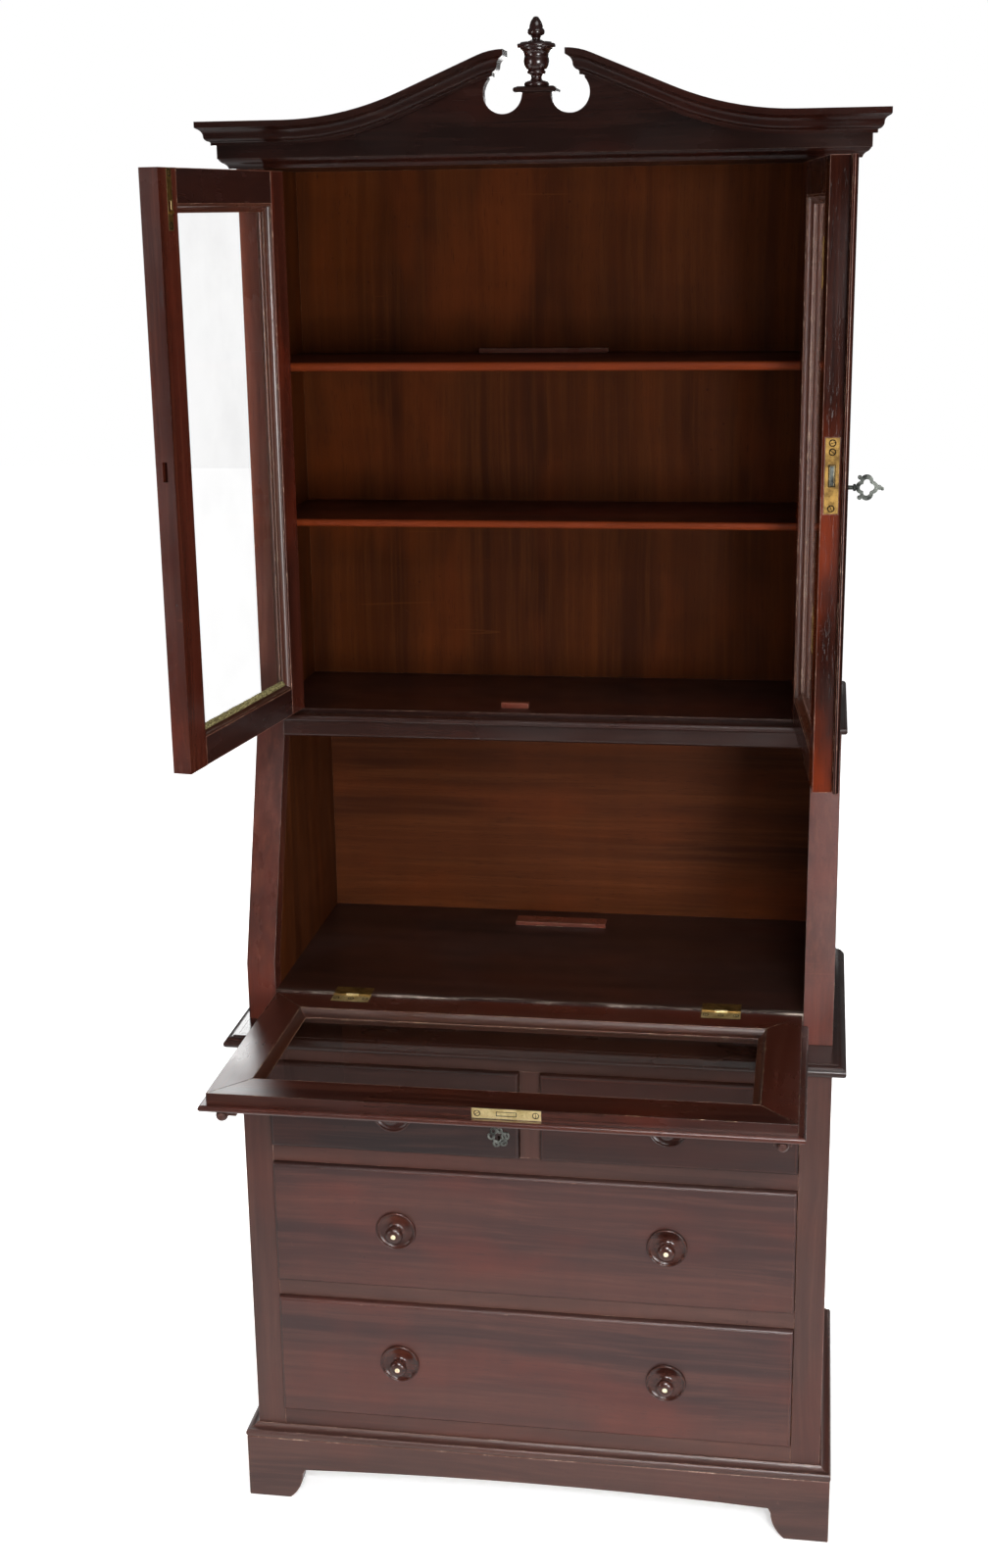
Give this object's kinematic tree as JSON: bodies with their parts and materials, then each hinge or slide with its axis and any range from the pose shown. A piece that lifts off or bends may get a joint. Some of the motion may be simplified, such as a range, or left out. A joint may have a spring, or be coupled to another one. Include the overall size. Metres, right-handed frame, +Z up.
{
  "type": "bureau bookcase",
  "caption": "Chest of drawers on a bracket plinth, under a sloping bureau with a glazed fall on lopers, under a bookcase with glazed doors and a swan-neck pediment.",
  "frame": {"origin": "on the floor, under the middle of the piece's bounding box as it stands with its doors and fall open", "axes": "+X to the viewer's right, +Y from the front to the back, +Z up"},
  "size_m": [0.872, 0.727, 2.0222],
  "materials": {
    "case_mahogany": "worn satin polish over a dark mahogany, greyish pink",
    "dark_mahogany": "dark polished mahogany, nearly black brown",
    "red_mahogany": "red brown polished mahogany",
    "inner_wood": "orange brown, dull",
    "drawer_lining": "raw pale wood, dull",
    "turned_wood": "turned and polished, worn at the rim, with a pale inlaid dot",
    "clear_glass": "clear, slightly grey",
    "aged_brass": "dull with age, pale where it is rubbed",
    "bright_brass": "rubbed bright",
    "dark_steel": "grey, worn"
  },
  "bodies": {
    "case": {"plinth_boards": "case_mahogany", "plinth_moulding": "case_mahogany", "chest_case": "case_mahogany", "face_frame": "case_mahogany", "drawer_runners": "drawer_lining", "chest_top": "case_mahogany", "bureau_case": "dark_mahogany", "bureau_lippings": "case_mahogany", "writing_board": "dark_mahogany", "bureau_rails": "red_mahogany", "mid_moulding": "case_mahogany", "loper_guides": "drawer_lining", "bookcase_stiles": "red_mahogany", "bookcase_boards": "dark_mahogany", "bookcase_case": "inner_wood", "shelves": "red_mahogany", "loose_strips": "red_mahogany", "case_brass": "aged_brass", "bed_moulding": "dark_mahogany", "pediment_case": "dark_mahogany", "pediment_board": "dark_mahogany", "cornice": "dark_mahogany", "pediment_cap": "dark_mahogany", "finial": "turned_wood"},
    "left_door": {"left_door_frame": "red_mahogany", "left_door_beads": "dark_mahogany", "left_door_glass": "clear_glass", "left_door_brass": "aged_brass"},
    "left_door_bolt": {"left_door_bolt": "dark_steel"},
    "right_door": {"right_door_frame": "red_mahogany", "right_door_beads": "dark_mahogany", "right_door_glass": "clear_glass", "right_door_brass": "aged_brass", "right_door_astragal": "red_mahogany"},
    "right_door_lock_bolt": {"right_door_lock_bolt": "dark_steel"},
    "right_door_key": {"right_door_key": "dark_steel"},
    "fall": {"fall_frame": "case_mahogany", "fall_beads": "red_mahogany", "fall_glass": "clear_glass", "fall_brass": "bright_brass"},
    "fall_lock_bolt": {"fall_lock_bolt": "bright_brass"},
    "left_loper": {"left_loper": "case_mahogany"},
    "right_loper": {"right_loper": "case_mahogany"},
    "small_drawer_left": {"small_drawer_left_front": "case_mahogany", "small_drawer_left_box": "drawer_lining", "small_drawer_left_knobs": "turned_wood", "drawer_lock": "aged_brass", "drawer_escutcheon": "aged_brass"},
    "drawer_lock_bolt": {"drawer_lock_bolt": "dark_steel"},
    "small_drawer_right": {"small_drawer_right_front": "case_mahogany", "small_drawer_right_box": "drawer_lining", "small_drawer_right_knobs": "turned_wood"},
    "long_drawer_upper": {"long_drawer_upper_front": "case_mahogany", "long_drawer_upper_box": "drawer_lining", "long_drawer_upper_knobs": "turned_wood"},
    "long_drawer_lower": {"long_drawer_lower_front": "case_mahogany", "long_drawer_lower_box": "drawer_lining", "long_drawer_lower_knobs": "turned_wood"}
  },
  "joints": [
    {"name": "left_door_hinge", "type": "hinge", "parent": "case", "child": "left_door", "pos_m": [-0.3596, 0.10215, 1.49], "axis": [0, 0, 1], "range_deg": [-6.5, 98.5]},
    {"name": "left_door_bolt_slide", "type": "slide", "parent": "left_door", "child": "left_door_bolt", "axis": [0, 0, 1], "range_m": [0, 0.01]},
    {"name": "right_door_hinge", "type": "hinge", "parent": "case", "child": "right_door", "pos_m": [0.3596, 0.10215, 1.49], "axis": [0, 0, -1], "range_deg": [-10.1, 94.9]},
    {"name": "right_door_key_turn", "type": "hinge", "parent": "right_door", "child": "right_door_key", "pos_m": [0.38534, -0.23909, 1.4869], "axis": [0.9963, 0.0854, 0], "range_deg": [0, 180]},
    {"name": "right_door_lock_bolt_slide", "type": "slide", "parent": "right_door", "child": "right_door_lock_bolt", "axis": [0.0854, -0.9963, 0], "range_m": [0, 0.008]},
    {"name": "fall_hinge", "type": "hinge", "parent": "case", "child": "fall", "pos_m": [0, -0.0152, 0.75797], "axis": [-1, 0, 0], "range_deg": [0, 109]},
    {"name": "fall_lock_bolt_slide", "type": "slide", "parent": "fall", "child": "fall_lock_bolt", "axis": [0, -1, 0], "range_m": [0, 0.008]},
    {"name": "left_loper_slide", "type": "slide", "parent": "case", "child": "left_loper", "axis": [0, 1, 0], "range_m": [0, 0.312]},
    {"name": "right_loper_slide", "type": "slide", "parent": "case", "child": "right_loper", "axis": [0, 1, 0], "range_m": [0, 0.312]},
    {"name": "drawer_lock_bolt_slide", "type": "slide", "parent": "small_drawer_left", "child": "drawer_lock_bolt", "axis": [0, 0, 1], "range_m": [0, 0.006]},
    {"name": "small_drawer_left_slide", "type": "slide", "parent": "case", "child": "small_drawer_left", "axis": [0, -1, 0], "range_m": [0, 0.3]},
    {"name": "small_drawer_right_slide", "type": "slide", "parent": "case", "child": "small_drawer_right", "axis": [0, -1, 0], "range_m": [0, 0.3]},
    {"name": "long_drawer_upper_slide", "type": "slide", "parent": "case", "child": "long_drawer_upper", "axis": [0, -1, 0], "range_m": [0, 0.3]},
    {"name": "long_drawer_lower_slide", "type": "slide", "parent": "case", "child": "long_drawer_lower", "axis": [0, -1, 0], "range_m": [0, 0.3]}
  ],
  "couplings": [
    {"joint": "right_door_key_turn", "follows": "right_door_lock_bolt_slide", "rad_per_m": 392.7}
  ]
}
